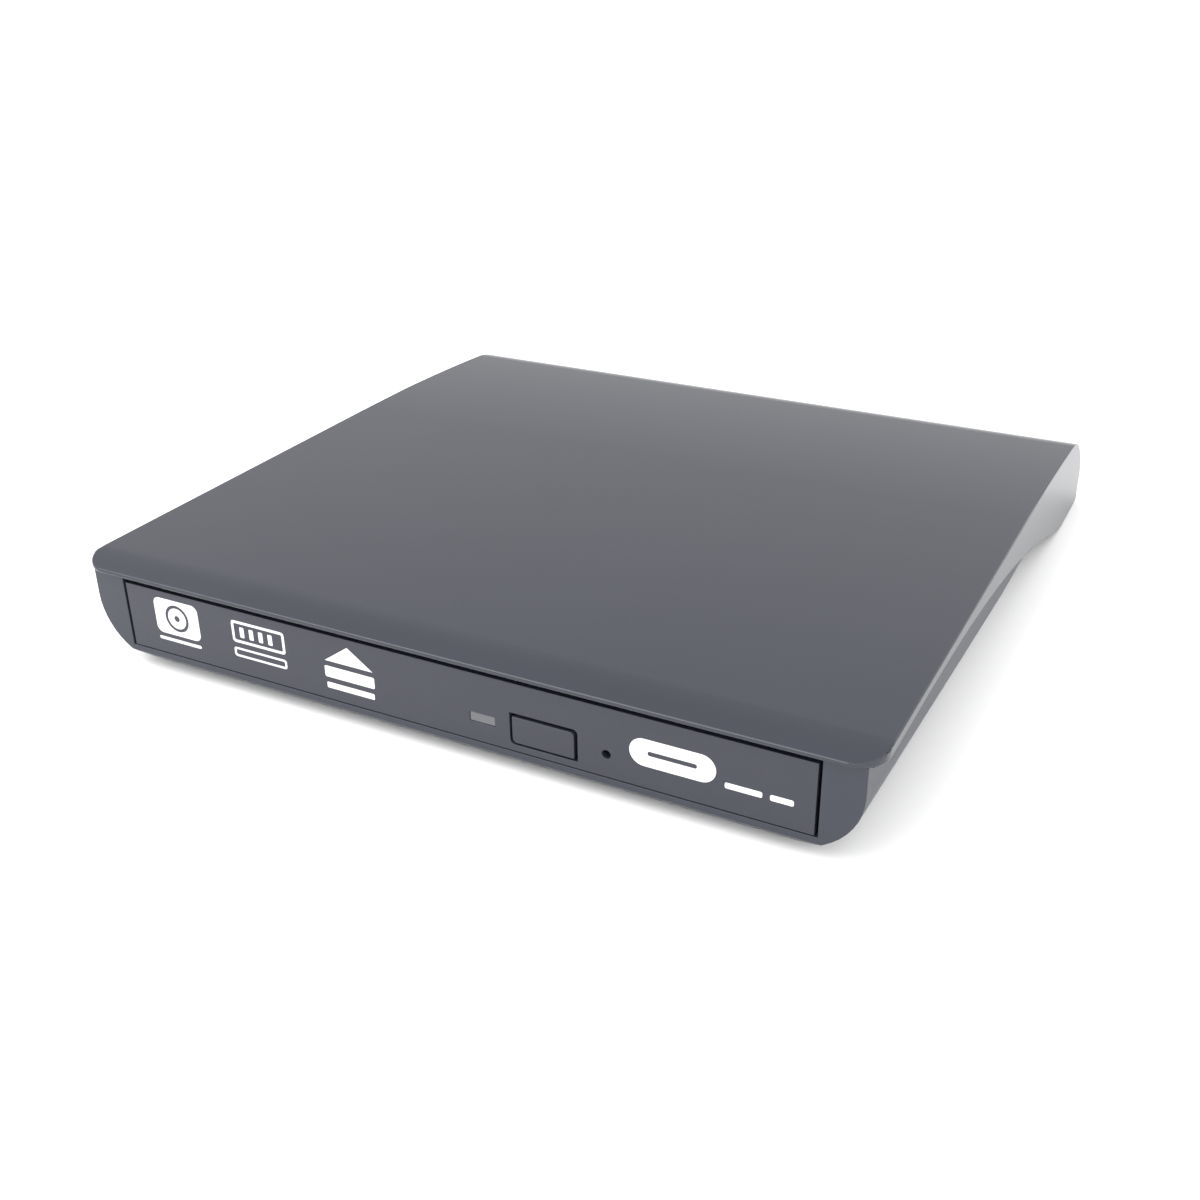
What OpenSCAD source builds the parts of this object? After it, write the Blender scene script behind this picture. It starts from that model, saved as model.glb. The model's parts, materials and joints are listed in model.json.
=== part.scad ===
// Slim external optical drive: a two-piece plastic case with a curved rear foot,
// holding a 12.7 mm tray-load disc drive and a small USB bridge board.
// Millimetres. Each module draws in case coordinates: X across, Y from the front
// face of the tray bezel towards the rear, Z up from the surface it stands on.

/* [Case] */
// Width of the top cover
case_w = 145.8; // [144.6:0.2:148]
// Total height from the table to the top of the cover
case_h = 20.2; // [20:0.1:21]
// How far the cover's front lip stands out past the bezel
lip_over = 1.2; // [0.6:0.1:1.6]
// Plan radius of the cover's front corners
corner_r = 5; // [3:0.5:7]
// Wall thickness of the cover's top
cover_t = 1.8; // [1.6:0.1:1.9]
// Height of the rear foot's underside above the table
hump_gap = 0.5; // [0.3:0.1:0.8]
// Height of the front of the bottom shell above the table
front_gap = 1.8; // [1.5:0.1:2]

/* [Drive] */
// Width of the slim drive's steel body
drive_w = 127.6; // [127.2:0.1:127.8]
// Width of the tray bezel
bezel_w = 127.7; // [127.4:0.1:127.9]
// Thickness of the drive's sheet steel
sheet_t = 0.6; // [0.5:0.1:0.6]

/* [Disc] */
// Distance from the bezel's face back to the disc's axis
hub_y = 65; // [64.6:0.1:65.2]
// Radius of the turntable's centring hub
hub_r = 7.4; // [7.35:0.01:7.45]
// Radius of the disc well in the tray
well_r = 60.8; // [60.6:0.1:61]

/* [Motion] */
// How far the tray comes out
tray_travel = 128; // [100:1:128]
// How far the pickup travels from its inner stop
pickup_travel = 33.4; // [30:0.1:33.4]
// How far the eject button goes in
button_travel = 0.8; // [0.4:0.1:0.8]
// Angle between the latch lever's released and latched places
latch_angle = 25; // [22:1:28]

/* [Hidden] */
$fn = 48;
eps = 0.05;

// Case outline, seen from the side
half_w = case_w / 2;
side_t = 1.6;
front_y = -lip_over;
flat_end = 82;
crown_r = 750;
crown_a = 3.9;
rear_r = 18;
hump_r = 2.5;
brow_l = 7;
brow_r = 19;
edge_r = 0.35;
brow_c = [front_y + brow_l, case_h - brow_r];
brow_a = asin((brow_l - edge_r) / (brow_r - edge_r));
lip_c = brow_c + (brow_r - edge_r) * [-sin(brow_a), cos(brow_a)];
lip_drop = 2;
crown_c = [flat_end, case_h - crown_r];
rear_c = crown_c + (crown_r - rear_r) * [sin(crown_a), cos(crown_a)];
hump_a = asin((hump_gap + hump_r - rear_c[1]) / (rear_r - hump_r));
hump_c = rear_c + (rear_r - hump_r) * [cos(hump_a), sin(hump_a)];
rear_y = hump_c[0] + hump_r;
mid_y = (front_y + rear_y) / 2;

// Lower edge of the cover's side skirts
skirt_start = 18;
skirt_k = 0.00035;
skirt_p = 2.3;
skirt_turn = 124;
skirt_top = case_h - lip_drop;
skirt_turn_z = skirt_top - skirt_k * pow(skirt_turn - skirt_start, skirt_p);
skirt_turn_a = atan(skirt_p * skirt_k * pow(skirt_turn - skirt_start, skirt_p - 1));
skirt_r = (skirt_turn_z - hump_gap) / (1 - cos(skirt_turn_a));
skirt_end = skirt_turn + skirt_r * sin(skirt_turn_a);

// Bottom shell
shell_t = 1.8;
shell_w = 70.9;
shell_front_r = 11.3;
hollow_front_r = 10;
front_edge = 1.4;
shell_r = 5.3;
shell_even = 86;
shell_end = 141;
shell_top = skirt_top - 0.1;
mouth_w = 128.8;
mouth_low = front_gap + 2.5;
boss_at = [60, 136.4];
front_foot_at = [54, 14];
rear_foot_at = [46, 135];
foot_r = 5;
rear_foot_h = 1.7;

// Slim drive: heights above the table
pan_low = 4.4;
pan_floor = pan_low + sheet_t;
lid_top = 17.1;
lid_low = lid_top - sheet_t;
pan_front = 3.4;
pan_back = 127.8;
pan_in = drive_w / 2 - sheet_t;
bezel_low = 4.5;
bezel_top = 16.8;
bezel_t = 1.8;
bezel_depth = 3;

// Tray heights and rails
skirt_low = 5.8;
tray_low = 11.2;
well_z = 12.3;
rim_z = 15.9;
tray_end = 126.4;
tray_half = 61.8;
side_in = 56.6;
side_out = 60;
rail_z = 8.2;
rail_t = 1;
rail_in = 58;
rail_out = 62.2;
rail_y = [8, 60 + tray_travel / 2];
groove = 0.2;

// Eject button and window, from the bezel's centre
button_x = 19.85;
button_z = 8.55;
button_hole = [11.9, 5.7];
button_gap = [[-0.35, -0.3], [0.6, 0.65]];
button_r = 0.8;
button_room = [12.8, 26.9];
stem_end = 4.7;
led_x = 8.9;
led_w = 4.6;
led_h = 1.7;
led_z = 8.8;
pinhole_x = 30.7;
pinhole_r = 0.75;

// Pickup mechanism, along its own line from the disc's axis towards the front left
mech_a = 225;
rod_r = 1.5;
rod_y = 11.5;
rod_z = 8.2;
run_gap = 0.03;
lens_x = 23.8;
sled_x = [15.2, 28.2];
arm_x = [15.4, 18.4];
rod_stop = sled_x[1] + pickup_travel + 0.6;
screw_y = 16;
screw_r = 1.2;
bracket_x = arm_x[1] + pickup_travel + 0.4;
window_end = lens_x + pickup_travel + 3.2;
plate_z = 10.5;
plate_t = 0.5;
foot_at = [[-12, 14], [-12, -12], [35, 23]];
disc_seat = 13.3;

// Latch at the rear right of the tray
pivot_at = [40, 112];
lever_z = [5.9, 7.1];
latch_pin_at = [50, 116];
solenoid_x = [20, 34];
solenoid_y = 106.6;

// Ejector at the rear left of the tray
ejector_x = -47;
ejector_z = 8.3;
ejector_r = 2;
ejector_y = [104.6, 126.8];

// Sockets at the rear
usb_x = -20;
jack_x = 14;
usb_face = 147;
jack_face = 146.2;
board_z = 4.6;
board_t = 1;
socket_z = board_z + board_t;
jack_z = socket_z + 2.9;
jack_r = 1.85;

black = [0.1, 0.1, 0.11];
steel = [0.72, 0.73, 0.75];
board_green = [0.08, 0.3, 0.16];

function arc(c, r, a0, a1, n) =
    [for (i = [0 : n]) let (a = a0 + (a1 - a0) * i / n) c + r * [cos(a), sin(a)]];

// Side outline of the case, moved inwards by t. Outside, the top falls gently to the front lip.
function side_outline(t) = concat(
    [[front_y + t, hump_gap + t]],
    t > 0 ? [[front_y + t, case_h - t]]
        : concat(arc(lip_c, edge_r, 180, 90 + brow_a, 4), arc(brow_c, brow_r, 90 + brow_a, 90, 8)),
    arc(crown_c, crown_r - t, 90, 90 - crown_a, 8),
    arc(rear_c, rear_r - t, 90 - crown_a, hump_a, 20),
    arc(hump_c, max(hump_r - t, 0.02), hump_a, -90, 10)
);

// Height of the skirts' lower edge: level, then a power curve, then an arc into the rear foot
function skirt_z(y) =
    y < skirt_start ? skirt_top
    : y < skirt_turn ? skirt_top - skirt_k * pow(y - skirt_start, skirt_p)
    : y < skirt_end ? hump_gap + skirt_r - sqrt(pow(skirt_r, 2) - pow(skirt_end - y, 2))
    : hump_gap;
function skirt_line(y0, y1, lift, n) =
    [for (i = [0 : n]) let (y = y0 + (y1 - y0) * i / n) [y, skirt_z(y) + lift]];
function reversed(v) = [for (i = [len(v) - 1 : -1 : 0]) v[i]];

// Right half of the bottom shell's cross-section with corner radius r, moved inwards by t
function shell_half(r, t) = concat(
    [[0, front_gap + t]],
    arc([shell_w - r, front_gap + r], r - t, -90, 0, 12),
    [[shell_w - t, shell_top], [0, shell_top]]
);

module place() translate([0, -mid_y, 0]) children();
module mech() translate([0, hub_y, 0]) rotate([0, 0, mech_a]) children();
// The child and its mirror image on the other side of the case
module both() {
    children();
    mirror([1, 0, 0]) children();
}
// Extrudes a (y, z) outline along X, centred
module along_x(w) rotate([90, 0, 90]) linear_extrude(height = w, center = true) children();
// Extrudes an (x, z) outline along +Y from y0 to y1
module along_y(y0, y1) translate([0, y1, 0]) rotate([90, 0, 0]) linear_extrude(height = y1 - y0) children();
module block(x, y, z) translate([x[0], y[0], z[0]]) cube([x[1] - x[0], y[1] - y[0], z[1] - z[0]]);
module post(at, r, z) translate([at[0], at[1], z[0]]) cylinder(r = r, h = z[1] - z[0]);
// A round bar along Y
module bar_y(x, z, r, y) translate([x, y[1], z]) rotate([90, 0, 0]) cylinder(r = r, h = y[1] - y[0]);
// A round bar along the pickup's line
module bar_x(y, z, r, x) translate([x[0], y, z]) rotate([0, 90, 0]) cylinder(r = r, h = x[1] - x[0]);

/* ---- Case ---- */

// Front corners rounded in plan, with a small radius along the sides' top edges
module cover_envelope() hull() both() {
    translate([half_w - corner_r, front_y + corner_r, 0]) rotate_extrude($fn = 40)
        polygon(concat([[0, 0], [corner_r, 0]],
            arc([corner_r - edge_r, case_h - edge_r], edge_r, 0, 90, 4),
            [[0, case_h + 1]]));
    translate([half_w - 2, rear_y - 1.5, -1]) cylinder(r1 = 2, r2 = 2, h = case_h - 6, $fn = 32);
    block([half_w - 1, half_w], [130, 140], [-1, case_h - edge_r]);
    block([half_w - 2, half_w - edge_r], [130, 140], [-1, case_h]);
}

module port_holes() {
    block([usb_x - 4.6, usb_x + 4.6], [140, 150], [socket_z - 0.4, socket_z + 4.6]);
    bar_y(jack_x, jack_z, 2.9, [140, 150]);
}

module top_cover() color(black) place() {
    difference() {
        intersection() {
            along_x(case_w) polygon(side_outline(0));
            cover_envelope();
        }
        along_x(case_w - 2 * side_t) polygon(side_outline(cover_t));
        // The cover is open below, between its skirts
        block([-half_w + side_t, half_w - side_t], [front_y + cover_t, shell_end + 0.4], [-1, 10]);
        along_x(case_w + 10) polygon(concat([[-10, -10], [-10, skirt_top]],
            skirt_line(skirt_start, skirt_end, 0, 32), [[skirt_end, -10]]));
        // Room for the drive under the falling roof
        block([-drive_w / 2 - 0.7, drive_w / 2 + 0.7], [90, pan_back + 0.4], [10, lid_top + 0.2]);
        port_holes();
    }
    // Screw bosses in the rear foot and snap tabs beside the bezel
    both() {
        difference() {
            post(boss_at, 3, [5.2, case_h - 3.4]);
            post(boss_at, 1, [5, 13]);
        }
        block([65.4, 66.8], [8, 16], [11, case_h - 1.3]);
        block([66.8, 67.3], [8, 16], [11, 12]);
    }
    // Ribs that steady the drive's lid
    for (x = [-42, 42]) block([x - 0.6, x + 0.6], [22, 118], [lid_top + 0.3, case_h - 1.3]);
}

// The bottom shell's solid from y0 to y1, moved inwards by t and drawn up to top:
// its lower corners are rounder at the front
module shell_form(t, y0, y1, front_r, top) {
    hull() {
        along_y(y0, y0 + eps) shell_section(front_r, t, top);
        along_y(shell_even, shell_even + eps) shell_section(shell_r, t, top);
    }
    along_y(shell_even, y1) shell_section(shell_r, t, top);
}
module shell_section(r, t, top) both() polygon(concat(shell_half(r, t), [[0, top]]));

module bottom_shell() color(black) place() difference() {
    union() {
        difference() {
            union() {
                shell_form(0, 0, shell_end, shell_front_r, shell_top);
                // Floor that follows the skirts down into the rear foot and closes the gap beside them
                along_x(2 * shell_w) polygon(concat(skirt_line(84, shell_end, 0.1, 30),
                    reversed(skirt_line(84, shell_end, 0.1 + shell_t, 30))));
            }
            // Hollow behind the front frame
            shell_form(shell_t, 3, shell_end - 1.4, hollow_front_r, 30);
            // Mouth for the bezel
            block([-mouth_w / 2, mouth_w / 2], [-1, 4], [mouth_low, 30]);
            // Lower front edge cut back at 45 degrees
            along_x(2 * half_w) polygon([[-1, -1], [-1, front_gap + front_edge + 1], [front_edge, front_gap],
                [front_edge, -1]]);
            // Side walls stop below the falling line of the cover
            block([-80, 80], [98, 150], [16.6, 30]);
            block([-80, 80], [124, 150], [8, 30]);
            // Rear wall notched for the bridge board
            block([-44, 46], [138, 150], [board_z - 0.3, 30]);
        }
        // Ribs under the drive and posts under the bridge board
        for (x = [-50, -18, 18, 50]) block([x - 0.7, x + 0.7], [6, 116], [3.2, pan_low]);
        for (x = [-34, 38], y = [131.5, 137]) post([x, y], 1.6, [3, board_z]);
        both() post(boss_at, 3, [3, 5]);
    }
    both() {
        post(boss_at, 1.3, [0, 6]);
        post(boss_at, 2.4, [0, 2.6]);
        post(front_foot_at, foot_r + 0.2, [0, front_gap + 0.4]);
        post(rear_foot_at, foot_r - 0.8, [0, rear_foot_h]);
    }
}

module front_feet() color([0.16, 0.16, 0.16]) place() both() post(front_foot_at, foot_r, [0, front_gap + 0.4]);
module rear_feet() color([0.16, 0.16, 0.16]) place() both() post(rear_foot_at, foot_r - 1, [0, rear_foot_h]);

// Pan-head screw pointing up, head at the bottom, with a cross recess
module screw_up(at, z, r, shank, head_r, head_h) translate([at[0], at[1], z]) difference() {
    union() {
        cylinder(r = head_r, h = head_h);
        translate([0, 0, head_h - eps]) cylinder(r = r, h = shank + eps);
    }
    for (a = [0, 90]) rotate([0, 0, a]) translate([-head_r * 0.6, -0.25, -1])
        cube([head_r * 1.2, 0.5, 1 + head_h * 0.5]);
}

module case_screws() color(steel) place() both() screw_up(boss_at, 1.6, 0.98, 9, 2.1, 1);

/* ---- USB bridge ---- */

module bridge_board() color(board_green) place() difference() {
    union() {
        block([-42, 44], [129.6, 138.6], [board_z, board_z + board_t]);
        block([-30, 24], [138.4, 145.4], [board_z, board_z + board_t]);
    }
    for (x = [-34, 38]) post([x, 131.5], 0.8, [0, 9]);
}

module bridge_chips() color([0.07, 0.07, 0.08]) place() {
    block([10.5, 17.5], [130.4, 135], [socket_z, socket_z + 1]);
    block([22, 27], [131, 136], [socket_z, socket_z + 1.2]);
    block([30, 33.4], [131, 133], [socket_z, socket_z + 1.1]);
    bar = [[-38.6, 131], [-38.6, 134], [41, 134.4]];
    for (p = bar) block([p[0], p[0] + 1.2], [p[1], p[1] + 2], [socket_z, socket_z + 0.6]);
}

module bridge_sata_socket() color([0.12, 0.12, 0.13]) place() difference() {
    block([-31, 7], [129.7, 135], [socket_z, socket_z + 4.6]);
    block([-27.2, 3.2], [129, 133.4], [7.3, 8.7]);
}

module usb_socket() color(steel) place() difference() {
    block([usb_x - 3.9, usb_x + 3.9], [138.8, usb_face], [socket_z, socket_z + 4]);
    block([usb_x - 3.5, usb_x + 3.5], [139.6, 148], [socket_z + 0.4, socket_z + 3.6]);
}

module usb_tongue() color([0.09, 0.09, 0.1]) place() {
    block([usb_x - 3.5, usb_x + 3.5], [139.6, 140.8], [socket_z + 0.4, socket_z + 3.6]);
    block([usb_x - 2.4, usb_x + 2.4], [140.7, usb_face - 1], [socket_z + 1.6, socket_z + 2.3]);
}

module power_jack() color(black) place() difference() {
    union() {
        block([jack_x - 4, jack_x + 4], [138.8, 143], [socket_z, socket_z + 5.8]);
        bar_y(jack_x, jack_z, 2.7, [142.9, jack_face]);
    }
    bar_y(jack_x, jack_z, jack_r, [140, 148]);
}

module power_jack_pin() color(steel) place() bar_y(jack_x, jack_z, 0.65, [140, jack_face - 0.8]);

/* ---- Slim drive, fixed parts ---- */

module drive_pan() color(steel) place() difference() {
    block([-drive_w / 2, drive_w / 2], [pan_front, pan_back], [pan_low, lid_low]);
    block([-pan_in, pan_in], [pan_front - 1, pan_back - sheet_t], [pan_floor, 30]);
    // Rear wall cut back for the connector
    block([-29, 5], [pan_back - 2, pan_back + 1], [pan_floor, 12]);
    // Lightening holes in the floor
    for (x = [-30, 30]) post([x, 30], 5, [0, 10]);
    // Screw holes for the rear bracket
    for (y = [120, 124]) translate([drive_w / 2 - 2, y, 12]) rotate([0, 90, 0]) cylinder(r = 0.8, h = 4);
}

module drive_lid() color(steel) place() difference() {
    union() {
        block([-drive_w / 2, drive_w / 2], [pan_front, pan_back], [lid_low, lid_top]);
        // Side tabs that hook over the pan
        both() for (y = [20, 66, 108]) block([drive_w / 2 + eps, drive_w / 2 + 0.45], [y, y + 9], [13.4, lid_top]);
        both() for (y = [20, 66, 108]) block([drive_w / 2 - 1, drive_w / 2 + 0.45], [y, y + 9], [lid_low, lid_top]);
    }
    // Stamped panel, sunk a little into the lid
    block([-52, 52], [14, 116], [lid_top - 0.15, lid_top + 1]);
}

module lid_screws() color(steel) place() for (y = [26, 72, 114], s = [-1, 1])
    translate([s * (drive_w / 2 + 0.45), y, 14.6]) rotate([0, s * 90, 0]) {
        cylinder(r = 1.3, h = 0.5);
    }

// Fixed guide on the pan's wall, with a groove that the middle rail runs in
module guide() difference() {
    block([side_out + 0.6, pan_in], [6, 124], [6.2, 10.4]);
    block([side_out, rail_out + groove], [0, 130], [rail_z - rail_t / 2 - groove, rail_z + rail_t / 2 + groove]);
}

module guide_left() color([0.8, 0.8, 0.78]) place() mirror([1, 0, 0]) guide();
module guide_right() color([0.8, 0.8, 0.78]) place() guide();

module drive_bracket() color(steel) place() {
    block([drive_w / 2, drive_w / 2 + 0.8], [118, 133.4], [6, 14.4]);
    difference() {
        block([56.4, drive_w / 2 + eps], [132.6, 133.4], [6, 14.4]);
        translate([60, 140, 10.4]) rotate([90, 0, 0]) cylinder(r = 1.1, h = 10);
    }
}

module bracket_screws() color(steel) place() for (y = [120, 124])
    translate([drive_w / 2 + 0.8, y, 12]) rotate([0, 90, 0]) cylinder(r = 1.5, h = 0.8);

module drive_board() color(board_green) place() {
    block([-38, 18], [88, 126.6], [pan_floor + 0.1, pan_floor + 0.8]);
}

module drive_chips() color([0.07, 0.07, 0.08]) place() {
    block([-24, -10], [96, 110], [pan_floor + 0.8, pan_floor + 1.8]);
    block([-4, 6], [98, 106], [pan_floor + 0.8, pan_floor + 1.7]);
    block([-33, -28], [92, 98], [pan_floor + 0.8, pan_floor + 1.6]);
    for (x = [-2, 2, 6, 10], y = [112, 116]) block([x, x + 1.6], [y, y + 0.9], [pan_floor + 0.8, pan_floor + 1.3]);
}

module drive_sata_plug() color([0.12, 0.12, 0.13]) place() {
    block([-28, 4], [122, 129.2], [pan_floor + 0.8, 10]);
    block([-26.8, 2.8], [129.1, 133], [7.6, 8.4]);
}

module pan_ribbon() color([0.85, 0.85, 0.83]) place() {
    block([24, 40], [12, 90], [pan_floor + 0.05, pan_floor + 0.2]);
    block([18.2, 40], [88, 92], [pan_floor + 0.05, pan_floor + 0.2]);
}

module latch_pin() color(steel) place() {
    post(latch_pin_at, 1.5, [pan_floor, 9.2]);
    post(latch_pin_at, 2.6, [pan_floor, pan_floor + 0.5]);
}

/* ---- Tray ---- */

module keyhole(hub, slot_half, slot_end) {
    circle(r = hub);
    translate([0, -slot_half]) square([slot_end, 2 * slot_half]);
}

module disc_tray() color(black) place() difference() {
    block([-tray_half, tray_half], [bezel_depth, tray_end], [tray_low, rim_z]);
    // Disc well
    translate([0, hub_y, well_z]) cylinder(r = well_r, h = 10, $fn = 96);
    // Finger notches at the rim
    for (a = [45, 135]) translate([0, hub_y, well_z]) rotate([0, 0, a]) translate([well_r, 0, 0])
        cylinder(r = 9, h = 10);
    mech() {
        // Window for the turntable and the pickup, and the sunk place of its shield
        translate([0, 0, 10]) linear_extrude(height = 4) keyhole(15.3, 9.5, window_end);
        translate([0, 0, well_z - 0.4]) linear_extrude(height = 4) shield_outline(0.15);
        for (p = foot_at) post(p, 1, [10, well_z - 0.5]);
    }
    // Room for the button's flange
    block(button_room, [bezel_depth - 1, bezel_depth + 0.9], [5, 11.9]);
}

// The tray's underside: the front wall that the bezel clips to, and the side beams
module tray_beams() color(black) place() difference() {
    union() {
        block([-side_out, side_out], [bezel_depth, bezel_depth + 1.2], [skirt_low, tray_low]);
        both() block([side_in, side_out], [bezel_depth, 124], [skirt_low, tray_low]);
    }
    // Grooves for the middle rails
    both() block([rail_in - groove, side_out + 1], [bezel_depth + 1.2, 130],
        [rail_z - rail_t / 2 - groove, rail_z + rail_t / 2 + groove]);
    // Front wall cut for the button, the board and the pinhole
    block([3, 34], [bezel_depth - 1, bezel_depth + 2], [skirt_low - 1, tray_low + 1]);
}

module shield_outline(grow) hull() {
    for (p = [[-14, 12], [-14, -12], [51, 8.5], [51, -8.5]]) translate(p) circle(r = 6 + grow, $fn = 32);
}

module pickup_shield() color([0.2, 0.2, 0.21]) place() mech() difference() {
    translate([0, 0, well_z - 0.4]) linear_extrude(height = 0.4) difference() {
        shield_outline(0);
        keyhole(15, 9.2, 70);
    }
}

// A rectangle round the button's centre, from low to high, with its lower left and upper right rounded
module button_outline(low, high) translate([button_x, button_z]) polygon(concat(
    arc(low + [button_r, button_r], button_r, 180, 270, 6), [[high[0], low[1]]],
    arc(high - [button_r, button_r], button_r, 0, 90, 6), [[low[0], high[1]]]));

module tray_bezel() color(black) place() difference() {
    block([-bezel_w / 2, bezel_w / 2], [0, bezel_depth], [bezel_low, bezel_top]);
    // Hollow back, so the front is a plate with a rim
    block([-bezel_w / 2 + 1.2, bezel_w / 2 - 1.2], [bezel_t, bezel_depth + 1], [bezel_low + 1, bezel_top - 1]);
    along_y(-1, 4) button_outline(button_hole / -2, button_hole / 2);
    block([led_x - led_w / 2, led_x + led_w / 2], [-1, 4], [led_z - led_h / 2, led_z + led_h / 2]);
    bar_y(pinhole_x, button_z, pinhole_r, [-1, 4]);
}

module led_window() color([0.45, 0.45, 0.46]) place() {
    block([led_x - led_w / 2 + eps, led_x + led_w / 2 - eps], [0.15, bezel_t + eps],
        [led_z - led_h / 2 + eps, led_z + led_h / 2 - eps]);
    block([led_x - led_w / 2 - 0.6, led_x + led_w / 2 + 0.6], [bezel_t + 0.02, bezel_t + 0.6],
        [led_z - led_h / 2 - 0.5, led_z + led_h / 2 + 0.5]);
    block([led_x - 1, led_x + 1], [bezel_t + 0.5, 6.4], [led_z - led_h / 2 - 0.5, led_z + 0.3]);
}

module tray_board() color(board_green) place() block([4, 33], [5, 15], [6.2, 7]);

module eject_switch() color([0.15, 0.15, 0.15]) place() {
    block([button_x - 2.4, button_x + 2.4], [6.4, 10], [7, 10.2]);
    bar_y(button_x, button_z, 0.9, [stem_end + button_travel + 0.1, 6.45]);
}

/* ---- Pickup mechanism ---- */

module frame_outline() hull() for (p = [[-14, 14], [-14, -12], [rod_stop - 1.7, -11], [rod_stop - 1.7, 15], [35, 23]])
    translate(p) circle(r = 5, $fn = 32);

module traverse_frame() color([0.62, 0.63, 0.65]) place() mech() difference() {
    union() {
        translate([0, 0, plate_z]) linear_extrude(height = plate_t) difference() {
            frame_outline();
            keyhole(15.3, 9.5, window_end);
        }
        // Blocks that hold the rods' ends
        for (y = [-rod_y, rod_y], x = [[12.4, 14.6], [rod_stop, rod_stop + 2.8]])
            block(x, [y - 2.2, y + 2.2], [6, plate_z + eps]);
        // Bearing block of the lead screw
        block([11.6, 14.2], [screw_y - 2, screw_y + 2], [6.2, plate_z + eps]);
    }
    for (y = [-rod_y, rod_y]) bar_x(y, rod_z, rod_r, [12, rod_stop + 4]);
    bar_x(screw_y, rod_z, screw_r + 0.05, [11, 15]);
    for (p = foot_at) post(p, 2.5, [8, 12]);
}

module guide_rods() color([0.85, 0.86, 0.88]) place() mech()
    for (y = [-rod_y, rod_y]) bar_x(y, rod_z, rod_r, [13, rod_stop + 2.3]);

module traverse_grommets() color([0.1, 0.1, 0.1]) place() mech() for (p = foot_at) difference() {
    union() {
        post(p, 2.5, [9.6, tray_low]);
        post(p, 3.4, [9, plate_z]);
    }
    post(p, 1, [8, 12]);
}

module traverse_screws() color(steel) place() mech() for (p = foot_at)
    screw_up(p, 8.2, 1, 2.6, 2.2, 0.8);

/* ---- Spindle ---- */

module spindle_base() color(steel) place() translate([0, hub_y, 0]) {
    difference() {
        post([0, 0], 13.4, [5.7, 6.3]);
        post([0, 0], 2.6, [5, 7]);
    }
    for (a = [45, 165, 320]) rotate([0, 0, a]) {
        post([16.8, 0], 1.2, [5.7, plate_z]);
        block([12.5, 16.8], [-1.2, 1.2], [5.7, 6.3]);
    }
}

module spindle_stator() color([0.7, 0.42, 0.2]) place() translate([0, hub_y, 0]) {
    difference() {
        post([0, 0], 4.6, [6.3, 9.6]);
        post([0, 0], 2.6, [6, 10]);
    }
    for (i = [0 : 8]) rotate([0, 0, i * 40]) block([4.4, 9.4], [-1.1, 1.1], [7.4, 9.2]);
}

module spindle_bush() color([0.75, 0.6, 0.3]) place() translate([0, hub_y, 0]) difference() {
    post([0, 0], 2.6, [5.7, 9.8]);
    post([0, 0], 1.5 + run_gap, [5.9, 10]);
}

module spindle_shaft() color([0.85, 0.86, 0.88]) place() translate([0, hub_y, 0]) post([0, 0], 1.5, [6.1, 14.6]);

module rotor_bell() color(steel) place() translate([0, hub_y, 0]) difference() {
    post([0, 0], 11.6, [7, 11.4]);
    post([0, 0], 10.8, [6, 10.6]);
    post([0, 0], 1.5, [6, 12]);
}

module turntable() color([0.14, 0.14, 0.15]) place() translate([0, hub_y, 0]) difference() {
    union() {
        post([0, 0], 13.8, [11.4, 12.9]);
        post([0, 0], hub_r, [12.8, 15]);
        translate([0, 0, 15]) cylinder(r1 = hub_r, r2 = hub_r - 1, h = 0.7);
    }
    post([0, 0], 1.5, [11, 14.6]);
    for (a = [0, 120, 240]) rotate([0, 0, a]) block([4.2, 9], [-1.5, 1.5], [12.9, 14.8]);
}

module rubber_ring() color([0.22, 0.22, 0.23]) place() translate([0, hub_y, 0]) difference() {
    post([0, 0], 13.6, [12.9, disc_seat]);
    post([0, 0], 10.4, [12, 14]);
}

module chuck_claws() color([0.75, 0.75, 0.72]) place() translate([0, hub_y, 0])
    for (a = [0, 120, 240]) rotate([0, 0, a]) intersection() {
        block([4.3, 9], [-1.35, 1.35], [12.95, 14.7]);
        post([0, 0], hub_r - 0.05, [12, 16]);
    }

/* ---- Pickup ---- */

module pickup_sled() color([0.3, 0.3, 0.32]) place() mech() difference() {
    union() {
        block(sled_x, [-8.8, 8.8], [6.1, 10.3]);
        // Ears around the rods
        block([17.4, 26.4], [-13.6, -8.6], [6, 9.95]);
        block([15.4, 24.4], [8.6, 13.6], [6, 9.95]);
        // Arm to the lead screw
        block(arm_x, [13, screw_y + 2.2], [6.1, 9.95]);
    }
    bar_x(-rod_y, rod_z, rod_r + run_gap, [10, 40]);
    bar_x(rod_y, rod_z, rod_r + run_gap, [10, 40]);
    bar_x(screw_y, rod_z, screw_r + 0.05, [10, 40]);
    // Seat of the lens actuator
    block([lens_x - 3.6, lens_x + 3.6], [-5.4, 5.4], [8.6, 12]);
}

module lens_holder() color([0.12, 0.12, 0.13]) place() mech() difference() {
    block([lens_x - 2.9, lens_x + 2.9], [-4.4, 4.4], [9.2, 11.6]);
    translate([lens_x, 0, 0]) post([0, 0], 2.2, [9, 12]);
}

module objective_lens() color([0.7, 0.75, 0.85]) place() mech() translate([lens_x, 0, 10.2])
    intersection() {
        cylinder(r = 2.2, h = 1.9);
        translate([0, 0, -1.6]) sphere(r = 3.5);
    }

module lead_screw() color([0.8, 0.8, 0.8]) place() mech() {
    difference() {
        bar_x(screw_y, rod_z, screw_r, [12, bracket_x + 0.8]);
        for (x = [20 : 1.5 : bracket_x - 2]) translate([x, screw_y, rod_z]) rotate([0, 90, 0])
            rotate_extrude() translate([screw_r, 0]) circle(r = 0.22, $fn = 16);
    }
}

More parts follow.
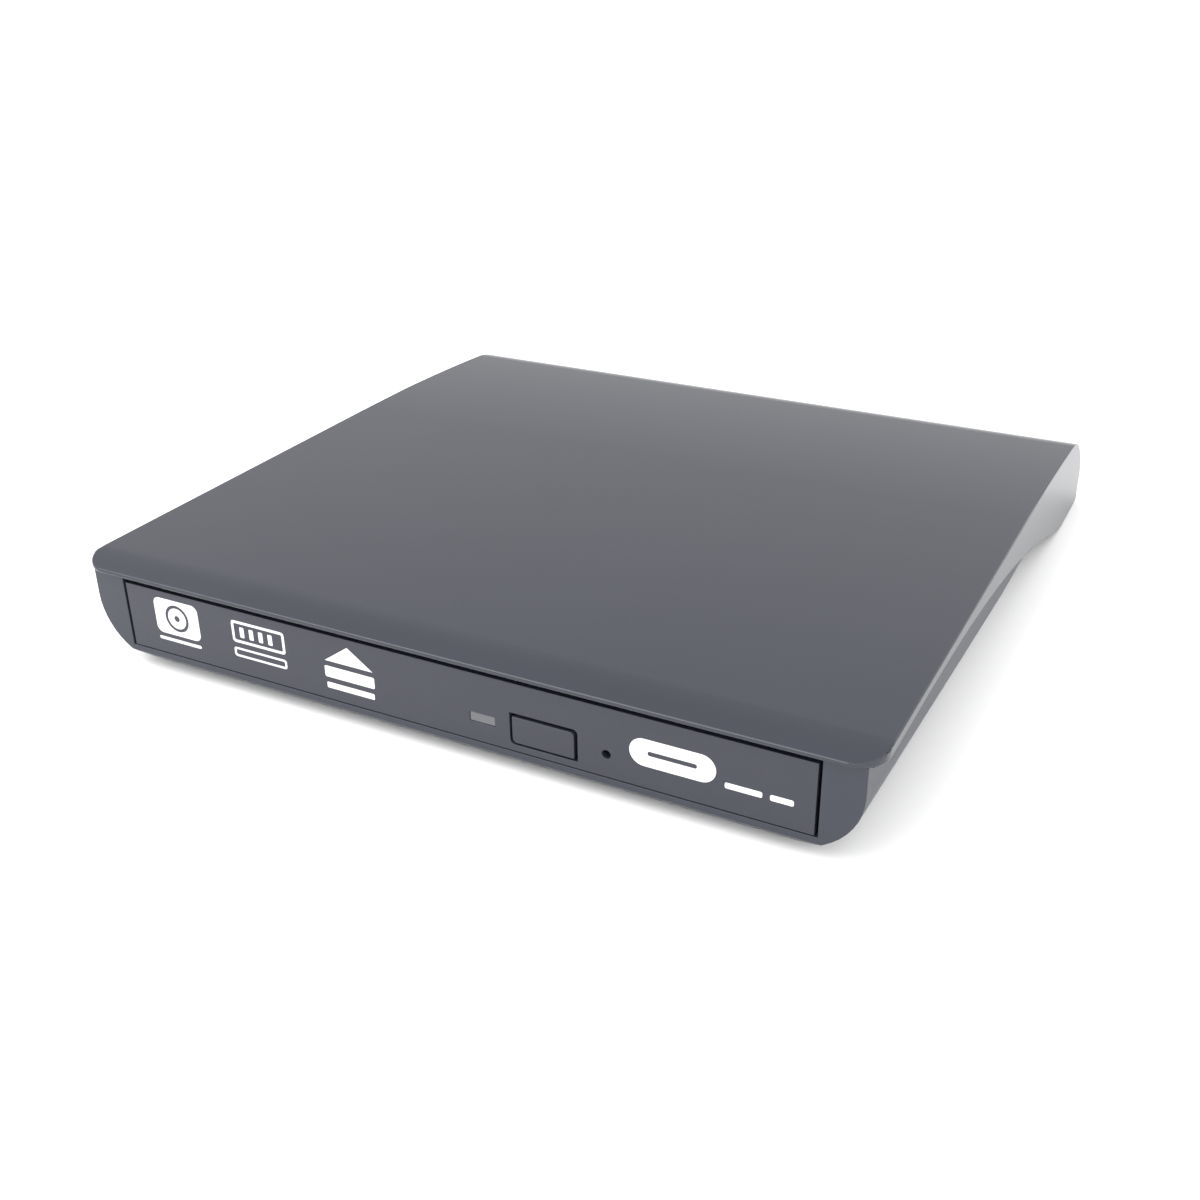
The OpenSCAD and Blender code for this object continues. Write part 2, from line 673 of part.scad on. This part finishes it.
module sled_motor() color(steel) place() mech() difference() {
    union() {
        bar_x(screw_y, rod_z, 2.3, [bracket_x + 1.3, bracket_x + 11.3]);
        block([bracket_x, bracket_x + 1.4], [screw_y - 2.3, screw_y + 2.3], [rod_z - 2.3, plate_z]);
    }
    bar_x(screw_y, rod_z, screw_r + 0.05, [bracket_x - 2, bracket_x + 4]);
}

/* ---- Latch and ejector ---- */

module latch_solenoid() color([0.5, 0.32, 0.16]) place() difference() {
    union() {
        block(solenoid_x, [solenoid_y - 5, solenoid_y + 5], [5.9, 6.5]);
        block([solenoid_x[0], solenoid_x[0] + 1], [solenoid_y - 5, solenoid_y + 5], [5.9, tray_low]);
        block([solenoid_x[1] - 1, solenoid_x[1]], [solenoid_y - 5, solenoid_y + 5], [5.9, tray_low]);
        translate([solenoid_x[0], solenoid_y, rod_z + 0.4]) rotate([0, 90, 0])
            cylinder(r = 2.2, h = solenoid_x[1] - solenoid_x[0]);
    }
    translate([solenoid_x[0] + 2, solenoid_y, rod_z + 0.4]) rotate([0, 90, 0]) cylinder(r = 1.25, h = 20);
}

// The plunger is out and the lever swung clear: the latch's released state
module latch_plunger() color(steel) place()
    translate([solenoid_x[0] + 5, solenoid_y, rod_z + 0.4]) rotate([0, 90, 0]) cylinder(r = 1.2, h = 16.3);

module lever_arm(p, rp, q, rq) hull() {
    translate(p) circle(r = rp, $fn = 32);
    translate(q) circle(r = rq, $fn = 32);
}

module latch_lever() color([0.75, 0.75, 0.72]) place() translate(pivot_at) rotate([0, 0, latch_angle])
    difference() {
        union() {
            translate([0, 0, lever_z[0]]) linear_extrude(height = lever_z[1] - lever_z[0]) {
                lever_arm([0, 0], 2.3, [4.5, 6.6], 1);
                lever_arm([4.5, 6.6], 1, [10.5, 6.9], 0.9);
                lever_arm([0, 0], 2.3, [0, -6], 1);
            }
            post([0, 0], 2.4, [lever_z[0], 10.6]);
            post([0, -6], 0.9, [lever_z[0], 9.8]);
        }
        post([0, 0], 1.2 + 0.04, [5, 12]);
    }

module latch_pivot() color(steel) place() {
    post(pivot_at, 1.2, [5.4, tray_low]);
    post(pivot_at, 2, [5.4, 5.7]);
}

module ejector_housing() color([0.2, 0.2, 0.2]) place() difference() {
    block([ejector_x - 3.4, ejector_x + 3.4], [99.6, 122], [5.9, tray_low]);
    bar_y(ejector_x, ejector_z, ejector_r + 0.04, [101, 130]);
}

module ejector_spring() color([0.8, 0.8, 0.8]) place() for (i = [0 : 3])
    translate([ejector_x, 101.5 + i * 0.85, ejector_z]) rotate([90, 0, 0])
        rotate_extrude() translate([1.4, 0]) circle(r = 0.3, $fn = 24);

module ejector_rod() color([0.8, 0.8, 0.78]) place() bar_y(ejector_x, ejector_z, ejector_r, ejector_y);

module tray_ribbon() color([0.85, 0.85, 0.83]) place() {
    block([24, 33], [13, 90], [tray_low - 0.15, tray_low]);
}

/* ---- Rails and button ---- */

module rail() union() {
    block([rail_in, rail_out], rail_y, [rail_z - rail_t / 2, rail_z + rail_t / 2]);
}

module rail_left() color(steel) place() mirror([1, 0, 0]) rail();
module rail_right() color(steel) place() rail();

module eject_button() color(black) place() {
    along_y(0, 2.2) button_outline(button_hole / -2 - button_gap[0], button_hole / 2 - button_gap[1]);
    // Flange that keeps the button behind the bezel
    block([button_x - 6.55, button_x + 6.55], [bezel_t + 0.1, 2.6], [button_z - 2.95, button_z + 2.95]);
    bar_y(button_x, button_z, 1, [2.5, stem_end]);
}

top_cover();
bottom_shell();
front_feet();
rear_feet();
case_screws();
bridge_board();
bridge_chips();
bridge_sata_socket();
usb_socket();
usb_tongue();
power_jack();
power_jack_pin();
drive_pan();
drive_lid();
lid_screws();
guide_left();
guide_right();
drive_bracket();
bracket_screws();
drive_board();
drive_chips();
drive_sata_plug();
pan_ribbon();
latch_pin();
disc_tray();
tray_beams();
tray_bezel();
led_window();
tray_board();
eject_switch();
pickup_shield();
traverse_frame();
guide_rods();
traverse_grommets();
traverse_screws();
spindle_base();
spindle_stator();
spindle_bush();
sled_motor();
latch_solenoid();
ejector_housing();
ejector_spring();
tray_ribbon();
eject_button();
rail_left();
rail_right();
spindle_shaft();
rotor_bell();
turntable();
rubber_ring();
chuck_claws();
pickup_sled();
lens_holder();
objective_lens();
lead_screw();
latch_plunger();
latch_lever();
latch_pivot();
ejector_rod();
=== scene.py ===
"""Looks of a slim external optical drive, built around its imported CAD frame.

Everything is in metres, in the row frame. Each CAD node gets a piece of its own, with the
same shape and place, whose edges are eased and whose surface has a procedural material.
"""

import json
import math

import bmesh
import bpy
from mathutils import Matrix, Vector


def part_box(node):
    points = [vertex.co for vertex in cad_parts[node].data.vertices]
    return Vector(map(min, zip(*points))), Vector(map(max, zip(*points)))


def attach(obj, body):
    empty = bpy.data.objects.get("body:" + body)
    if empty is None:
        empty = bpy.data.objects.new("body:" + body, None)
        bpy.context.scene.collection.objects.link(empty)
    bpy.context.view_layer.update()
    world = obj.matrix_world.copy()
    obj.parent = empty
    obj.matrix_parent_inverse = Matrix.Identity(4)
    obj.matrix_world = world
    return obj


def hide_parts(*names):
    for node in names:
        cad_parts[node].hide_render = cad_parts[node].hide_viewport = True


MM = 0.001

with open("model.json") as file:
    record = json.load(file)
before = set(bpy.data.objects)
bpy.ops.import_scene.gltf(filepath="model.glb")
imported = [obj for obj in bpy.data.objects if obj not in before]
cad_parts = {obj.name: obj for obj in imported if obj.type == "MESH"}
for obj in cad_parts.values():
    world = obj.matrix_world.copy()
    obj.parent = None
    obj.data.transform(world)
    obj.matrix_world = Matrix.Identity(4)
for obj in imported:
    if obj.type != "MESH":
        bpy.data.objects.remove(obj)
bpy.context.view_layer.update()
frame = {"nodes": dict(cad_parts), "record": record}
NODES = frame["nodes"]
SLOT_OF = {p["node"]: p["material_slot"] for p in frame["record"]["subparts"]}
BODY_OF = {n: b for b, ns in frame["record"]["behaviour"]["bodies"].items() for n in ns}


# ---- Camera ----

CAMERA_PLACE = (0.112478, -0.232471, 0.127161)
CAMERA_FORWARD = (-0.41028, 0.78728, -0.46028)
CAMERA_UP = (-0.20190, 0.41378, 0.88771)
SENSOR_MM = 36
LENS_MM = 42.38


def make_camera():
    """The photo's viewpoint: in front of the drive, to its right and above."""
    data = bpy.data.cameras.new("camera")
    data.sensor_width = SENSOR_MM
    data.lens = LENS_MM
    camera = bpy.data.objects.new("camera", data)
    bpy.context.scene.collection.objects.link(camera)
    forward = Vector(CAMERA_FORWARD).normalized()
    right = forward.cross(Vector(CAMERA_UP)).normalized()
    up = right.cross(forward)
    turn = Matrix((right, up, -forward)).transposed().to_4x4()
    camera.matrix_world = Matrix.Translation(CAMERA_PLACE) @ turn
    bpy.context.scene.camera = camera


make_camera()


# ---- Materials ----


class Shader:
    """A material with a Principled shader, and short ways to add nodes to it."""

    def __init__(self, name, colour, roughness, metallic=0.0, **sockets):
        self.material = bpy.data.materials.new(name)
        self.material.use_nodes = True
        self.tree = self.material.node_tree
        self.bsdf = self.tree.nodes["Principled BSDF"]
        self.material.diffuse_color = (*colour, 1)
        self.bsdf.inputs["Base Color"].default_value = (*colour, 1)
        self.bsdf.inputs["Roughness"].default_value = roughness
        self.bsdf.inputs["Metallic"].default_value = metallic
        for socket, value in sockets.items():
            self.bsdf.inputs[socket.replace("_", " ")].default_value = value
        self.place = self.node("ShaderNodeTexCoord").outputs["Object"]

    def node(self, kind, **inputs):
        made = self.tree.nodes.new(kind)
        for socket, value in inputs.items():
            self.feed(made.inputs[socket.replace("_", " ")], value)
        return made

    def feed(self, socket, value):
        if isinstance(value, bpy.types.NodeSocket):
            self.tree.links.new(value, socket)
        else:
            socket.default_value = value

    def stretched(self, scale):
        """Object coordinates in metres, scaled along each axis."""
        return self.node("ShaderNodeMapping", Vector=self.place, Scale=scale).outputs["Vector"]

    def noise(self, size_mm, detail=3.0, rough=0.5, place=None):
        made = self.node("ShaderNodeTexNoise", Vector=place or self.place,
                         Scale=1 / (size_mm * MM), Detail=detail, Roughness=rough)
        return made.outputs["Fac"]

    def cells(self, size_mm, place=None):
        made = self.node("ShaderNodeTexVoronoi", Vector=place or self.place, Scale=1 / (size_mm * MM))
        return made.outputs["Distance"]

    def spread(self, value, low, high, start=0.3, end=0.7):
        """Maps a 0 to 1 pattern onto low to high."""
        made = self.node("ShaderNodeMapRange", Value=value)
        for socket, number in (("From Min", start), ("From Max", end), ("To Min", low), ("To Max", high)):
            made.inputs[socket].default_value = number
        return made.outputs["Result"]

    def mix(self, factor, first, second):
        made = self.node("ShaderNodeMix")
        made.data_type = "RGBA"
        self.feed(made.inputs["Factor"], factor)
        self.feed(made.inputs[6], first if isinstance(first, bpy.types.NodeSocket) else (*first, 1))
        self.feed(made.inputs[7], second if isinstance(second, bpy.types.NodeSocket) else (*second, 1))
        return made.outputs[2]

    def colour(self, value):
        self.feed(self.bsdf.inputs["Base Color"], value)

    def roughness(self, value):
        self.feed(self.bsdf.inputs["Roughness"], value)

    def bump(self, height, depth_mm, strength=1.0):
        """Adds a bump of that depth, on top of any there already."""
        made = self.node("ShaderNodeBump", Height=height, Distance=depth_mm * MM, Strength=strength)
        normal = self.bsdf.inputs["Normal"]
        if normal.is_linked:
            self.tree.links.new(normal.links[0].from_socket, made.inputs["Normal"])
        self.tree.links.new(made.outputs["Normal"], normal)


def scaled(colour, factor):
    return tuple(min(1, c * factor) for c in colour)


def moulded(name, colour, roughness, grain_mm=0.3, depth_mm=0.004, cloud=0.03, **sockets):
    """Moulded plastic: a fine spark-eroded grain whose hollows are a little duller, with painted shade
    that darkens them.
    """
    s = Shader(name, colour, roughness, **sockets)
    grain = s.noise(grain_mm, detail=4, rough=0.65)
    broad = s.noise(22, detail=2)
    tone = s.mix(s.spread(broad, 0, 1), scaled(colour, 1 - cloud), scaled(colour, 1 + cloud))
    # painted shade: the grain's hollows are mixed towards a darker copy of the colour
    s.colour(s.mix(s.spread(grain, 0.25, 0), tone, scaled(colour, 0.6)))
    s.roughness(s.spread(grain, roughness + 0.05, roughness - 0.03))
    s.bump(grain, depth_mm)
    return s.material


def rubber(name, colour):
    s = Shader(name, colour, 0.8)
    s.colour(s.mix(s.spread(s.noise(2.2, detail=5), 0, 1), scaled(colour, 0.8), scaled(colour, 1.35)))
    s.roughness(s.spread(s.noise(0.8), 0.7, 0.9))
    s.bump(s.noise(0.25, detail=4), 0.01)
    return s.material


def metal(name, colour, roughness, grain=(1, 1, 1), grain_mm=0.25, depth_mm=0.0015, stain=0.12):
    """Metal with fine marks. A small number in grain draws the marks out along that axis."""
    s = Shader(name, colour, roughness, 1.0)
    lines = s.noise(grain_mm, detail=4, place=s.stretched(grain))
    patches = s.noise(6, detail=4)
    s.colour(s.mix(s.spread(patches, 0, 1), scaled(colour, 1 - stain), scaled(colour, 1 + stain)))
    s.roughness(s.spread(lines, roughness - 0.07, roughness + 0.09))
    s.bump(lines, depth_mm)
    return s.material


def circuit_board(name, mask, copper):
    """Green solder mask over copper tracks, which show as lighter lines."""
    s = Shader(name, mask, 0.32)
    tracks = s.node("ShaderNodeTexBrick", Vector=s.place, Scale=1 / (1.6 * MM))
    for socket, grey in (("Color1", 0), ("Color2", 0.25), ("Mortar", 1)):
        tracks.inputs[socket].default_value = (grey, grey, grey, 1)
    tracks.inputs["Mortar Size"].default_value = 0.09
    tracks.inputs["Brick Width"].default_value = 2.1
    tracks.inputs["Row Height"].default_value = 0.42
    vias = s.spread(s.cells(1.9), 1, 0, 0.12, 0.16)
    s.colour(s.mix(vias, s.mix(tracks.outputs["Fac"], mask, scaled(mask, 2.2)), copper))
    s.roughness(s.spread(s.noise(5), 0.26, 0.4))
    s.bump(tracks.outputs["Fac"], 0.01)
    return s.material


def flat_cable(name, film, copper):
    """White film with copper conductors that show through as thin stripes along Y."""
    s = Shader(name, film, 0.38)
    stripes = s.node("ShaderNodeTexWave", Vector=s.place, Scale=1 / (3.2 * MM))
    stripes.bands_direction = "X"
    s.colour(s.mix(s.spread(stripes.outputs["Fac"], 0, 0.5, 0.45, 0.6), film, copper))
    s.roughness(s.spread(s.noise(2), 0.3, 0.45))
    s.bump(stripes.outputs["Fac"], 0.02)
    return s.material


def winding(name, colour):
    """Varnished copper wire, in turns as thick as the wire, with painted shade in the grooves between
    turns and painted light on their crowns.
    """
    s = Shader(name, colour, 0.3, 0.85, Coat_Weight=0.5)
    turns = s.node("ShaderNodeTexWave", Vector=s.place, Scale=1 / (0.55 * MM))
    turns.bands_direction = "DIAGONAL"
    # painted shade and painted highlight: each turn is darker in its groove and lighter on its crown
    s.colour(s.mix(turns.outputs["Fac"], scaled(colour, 0.45), scaled(colour, 1.2)))
    s.roughness(s.spread(s.noise(1), 0.22, 0.4))
    s.bump(turns.outputs["Fac"], 0.05)
    return s.material


def clear_glass(name, colour):
    s = Shader(name, colour, 0.03, Transmission_Weight=0.9, IOR=1.55, Coat_Weight=0.6)
    s.colour(s.mix(s.spread(s.noise(3), 0, 1), scaled(colour, 0.9), colour))
    s.roughness(s.spread(s.noise(0.5), 0.02, 0.06))
    return s.material


def printed(name, colour):
    """Screen-printed ink, slightly uneven, with pinholes."""
    s = Shader(name, colour, 0.5)
    s.colour(s.mix(s.spread(s.noise(0.35, detail=5), 0, 1), scaled(colour, 0.88), colour))
    s.roughness(s.spread(s.noise(0.6), 0.42, 0.6))
    s.bump(s.noise(0.12, detail=3), 0.004)
    return s.material


MATERIALS = {
    "case_plastic": moulded("case_plastic", (0.023, 0.026, 0.038), 0.22, 0.22, 0.0015),
    "shell_plastic": moulded("shell_plastic", (0.024, 0.027, 0.041), 0.38, 0.28, 0.003),
    "bezel_plastic": moulded("bezel_plastic", (0.024, 0.026, 0.039), 0.34, 0.25, 0.002),
    "tray_plastic": moulded("tray_plastic", (0.027, 0.028, 0.034), 0.46, 0.4, 0.008),
    "connector_plastic": moulded("connector_plastic", (0.02, 0.02, 0.022), 0.36, 0.2, 0.004),
    "chip_plastic": moulded("chip_plastic", (0.015, 0.015, 0.017), 0.55, 0.12, 0.006),
    "actuator_plastic": moulded("actuator_plastic", (0.02, 0.02, 0.022), 0.4, 0.15, 0.004),
    "cream_plastic": moulded("cream_plastic", (0.62, 0.6, 0.53), 0.4, 0.3, 0.004,
                             Subsurface_Weight=0.1),
    "window_plastic": moulded("window_plastic", (0.1, 0.103, 0.112), 0.3, 0.5, 0.01,
                              Coat_Weight=0.3),
    "foot_rubber": rubber("foot_rubber", (0.022, 0.022, 0.022)),
    "soft_rubber": rubber("soft_rubber", (0.035, 0.035, 0.037)),
    "screw_steel": metal("screw_steel", (0.45, 0.46, 0.48), 0.34),
    "plated_steel": metal("plated_steel", (0.58, 0.59, 0.6), 0.33, (1, 0.06, 1)),
    "shield_steel": metal("shield_steel", (0.05, 0.05, 0.052), 0.42, grain_mm=0.15),
    "frame_metal": metal("frame_metal", (0.4, 0.41, 0.42), 0.48, grain_mm=0.5, depth_mm=0.006),
    "ground_steel": metal("ground_steel", (0.68, 0.69, 0.7), 0.14, (0.1, 0.1, 1), 0.1, 0.0005),
    "bronze": metal("bronze", (0.42, 0.28, 0.1), 0.4, grain_mm=0.1, depth_mm=0.004),
    "copper": winding("copper", (0.5, 0.2, 0.07)),
    "board": circuit_board("board", (0.012, 0.085, 0.035), (0.55, 0.42, 0.2)),
    "ribbon": flat_cable("ribbon", (0.68, 0.66, 0.6), (0.42, 0.3, 0.2)),
    "lens_glass": clear_glass("lens_glass", (0.5, 0.62, 0.82)),
}
INK = printed("white_ink", (0.8, 0.8, 0.8))


# ---- Pieces made from the CAD nodes ----

SHARP_DEG = 35
WELD_MM = 0.002
FLAT_DEG = 0.3
CORNER_DEG = 30


def new_piece(name, bm, body, material):
    """A mesh object that rides on a body, smooth except over its sharp edges."""
    mesh = bpy.data.meshes.new(name)
    bm.to_mesh(mesh)
    bm.free()
    mesh.shade_smooth()
    mesh.set_sharp_from_angle(angle=math.radians(SHARP_DEG))
    mesh.materials.clear()
    mesh.materials.append(material)
    piece = bpy.data.objects.new(name, mesh)
    bpy.context.scene.collection.objects.link(piece)
    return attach(piece, body)


def refine(node, ease_mm):
    """Stands for a CAD node: the same solid, in the same box, with its convex edges eased by that much."""
    bm = bmesh.new()
    bm.from_mesh(NODES[node].data)
    bmesh.ops.remove_doubles(bm, verts=bm.verts, dist=WELD_MM * MM)
    bmesh.ops.dissolve_limit(bm, angle_limit=math.radians(FLAT_DEG), verts=bm.verts, edges=bm.edges)
    low = [min(v.co[i] for v in bm.verts) for i in range(3)]
    high = [max(v.co[i] for v in bm.verts) for i in range(3)]
    if ease_mm:
        edges = [e for e in bm.edges if e.is_manifold and e.is_convex
                 and e.calc_face_angle(0) > math.radians(CORNER_DEG)]
        bmesh.ops.bevel(bm, geom=edges, offset=ease_mm * MM, segments=2, profile=0.5,
                        affect="EDGES", clamp_overlap=False)
        for v in bm.verts:
            v.co = [min(max(v.co[i], low[i]), high[i]) for i in range(3)]
    piece = new_piece(node + "_form", bm, BODY_OF[node], MATERIALS[SLOT_OF[node]])
    weighted = piece.modifiers.new("even shading", "WEIGHTED_NORMAL")
    weighted.keep_sharp = True
    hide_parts(node)
    return piece


EASE_MM = {
    "top_cover": 0.2, "bottom_shell": 0.08, "front_feet": 0.4, "rear_feet": 0.4,
    "tray_bezel": 0.1, "eject_button": 0.2, "led_window": 0.05, "disc_tray": 0.2,
    "turntable": 0.2, "rubber_ring": 0.1, "pickup_sled": 0.25, "lens_holder": 0.2,
    "traverse_frame": 0.08, "pickup_shield": 0.06, "spindle_base": 0.08, "rotor_bell": 0.15,
    "objective_lens": 0, "lead_screw": 0, "ejector_spring": 0, "pan_ribbon": 0, "tray_ribbon": 0,
    "latch_lever": 0.08, "drive_lid": 0.06, "drive_pan": 0.1,
}
DEFAULT_EASE_MM = 0.1

for name in sorted(NODES):
    refine(name, EASE_MM.get(name, DEFAULT_EASE_MM))


# ---- Plain printed marks on the bezel ----

INK_MM = 0.02
face_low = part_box("tray_bezel")[0]


def rounded(x0, x1, z0, z1, radius, steps=8):
    """Outline of a rounded rectangle, in millimetres."""
    left, right, low, high = x0 + radius, x1 - radius, z0 + radius, z1 - radius
    points = []
    for quarter, (x, z) in enumerate(((right, high), (left, high), (left, low), (right, low))):
        for i in range(steps + 1):
            a = math.radians(90 * (quarter + i / steps))
            points.append((x + radius * math.cos(a), z + radius * math.sin(a)))
    return points


def ring(x, z, radius, steps=40):
    turns = [2 * math.pi * i / steps for i in range(steps)]
    return [(x + radius * math.cos(a), z + radius * math.sin(a)) for a in turns]


def ink(name, outlines):
    """Thin ink on the bezel's face. An outline inside another cuts a hole. Heights are from its foot."""
    curve = bpy.data.curves.new(name, "CURVE")
    curve.dimensions = "2D"
    curve.fill_mode = "BOTH"
    curve.extrude = INK_MM * MM
    for outline in outlines:
        spline = curve.splines.new("POLY")
        spline.points.add(len(outline) - 1)
        for point, (x, z) in zip(spline.points, outline):
            point.co = (x * MM, z * MM, 0, 1)
        spline.use_cyclic_u = True
    shape = bpy.data.objects.new(name + "_outline", curve)
    bm = bmesh.new()
    bm.from_mesh(bpy.data.meshes.new_from_object(shape))
    bpy.data.objects.remove(shape)
    upright = Matrix.Translation((0, face_low.y, face_low.z)) @ Matrix.Rotation(math.radians(90), 4, "X")
    bmesh.ops.transform(bm, matrix=upright, verts=bm.verts)
    return new_piece(name, bm, "tray", INK)


def make_marks():
    """The marks from left to right, in millimetres from the bezel's middle and its foot."""
    rings = [ring(-52.9, 7.55, radius) for radius in (2.6, 2, 0.6)]
    ink("disc_badge", [rounded(-57.8, -48, 4.1, 11, 1.3)] + rings)
    ink("disc_badge_bar", [rounded(-57.6, -48.2, 2.7, 3.3, 0.25)])
    bars = [rounded(-40.6, -29.4, 6.2, 10.4, 0.6), rounded(-40.1, -29.9, 6.7, 9.9, 0.3)]
    ink("bar_frame", bars)
    for i in range(4):
        x = -38.9 + 2 * i
        ink(f"bar_frame_line_{i}", [rounded(x, x + 0.9, 7.3, 9.3, 0.2)])
    ink("bar_frame_foot", [rounded(-40.6, -29.4, 3.4, 5.2, 0.5), rounded(-40.2, -29.8, 3.8, 4.8, 0.3)])
    ink("tray_arrow", [[(-21.2, 7.4), (-11.7, 7.4), (-16.45, 10.8)]])
    ink("tray_arrow_bar", [rounded(-21.4, -11.5, 4.3, 6.4, 0.3)])
    ink("tray_arrow_foot", [rounded(-21.2, -11.7, 2.2, 3.3, 0.2)])
    ink("capsule", [rounded(34.6, 48.6, 3.9, 8.7, 2.39), rounded(37.6, 45.6, 5.9, 6.7, 0.39)])
    ink("long_dash", [rounded(50, 55.8, 4, 5, 0.3)])
    ink("short_dash", [rounded(57, 60.6, 4, 5, 0.3)])


make_marks()


# ---- Floor and light ----

FLOOR_HALF = 6
TENT_STRENGTH = 1.52
TENT_LEAN = (0.4, -0.5, 0)
SOFTBOX_SIZE = (0.9, 0.3)
SOFTBOX_WATTS = 3.2
SOFTBOX_TOWARDS = (-0.4, -0.46, 0.74)
SOFTBOX_DISTANCE = 0.8


def make_floor():
    """A white table that glows a little, which keeps its shadows thin."""
    bm = bmesh.new()
    bmesh.ops.create_grid(bm, x_segments=1, y_segments=1, size=FLOOR_HALF)
    mesh = bpy.data.meshes.new("floor")
    bm.to_mesh(mesh)
    bm.free()
    floor = bpy.data.objects.new("floor", mesh)
    bpy.context.scene.collection.objects.link(floor)
    s = Shader("floor", (0.93, 0.93, 0.93), 0.9, Specular_IOR_Level=0.1, Emission_Strength=0.04)
    s.bsdf.inputs["Emission Color"].default_value = (1, 1, 1, 1)
    mesh.materials.append(s.material)


def make_tent():
    """White all round, brightest in front and a little to the right, dimmest at the rear left."""
    world = bpy.data.worlds.new("tent")
    bpy.context.scene.world = world
    world.use_nodes = True
    tree = world.node_tree
    background = tree.nodes["Background"]
    background.inputs["Color"].default_value = (1, 1, 1, 1)
    place = tree.nodes.new("ShaderNodeTexCoord")
    lean = tree.nodes.new("ShaderNodeVectorMath")
    lean.operation = "DOT_PRODUCT"
    lean.inputs[1].default_value = TENT_LEAN
    strength = tree.nodes.new("ShaderNodeMath")
    strength.inputs[1].default_value = TENT_STRENGTH
    tree.links.new(place.outputs["Generated"], lean.inputs[0])
    tree.links.new(lean.outputs["Value"], strength.inputs[0])
    tree.links.new(strength.outputs["Value"], background.inputs["Strength"])


def make_softbox():
    """A wide lamp in front and above, to the left, which lights the cover's rounded front edge."""
    lamp = bpy.data.lights.new("softbox", "AREA")
    lamp.shape = "RECTANGLE"
    lamp.size, lamp.size_y = SOFTBOX_SIZE
    lamp.energy = SOFTBOX_WATTS
    softbox = bpy.data.objects.new("softbox", lamp)
    bpy.context.scene.collection.objects.link(softbox)
    away = Vector(SOFTBOX_TOWARDS).normalized()
    facing = away.to_track_quat("Z", "Y").to_matrix().to_4x4()
    softbox.matrix_world = Matrix.Translation(SOFTBOX_DISTANCE * away) @ facing


make_floor()
make_tent()
make_softbox()
bpy.context.scene.view_settings.view_transform = "Standard"
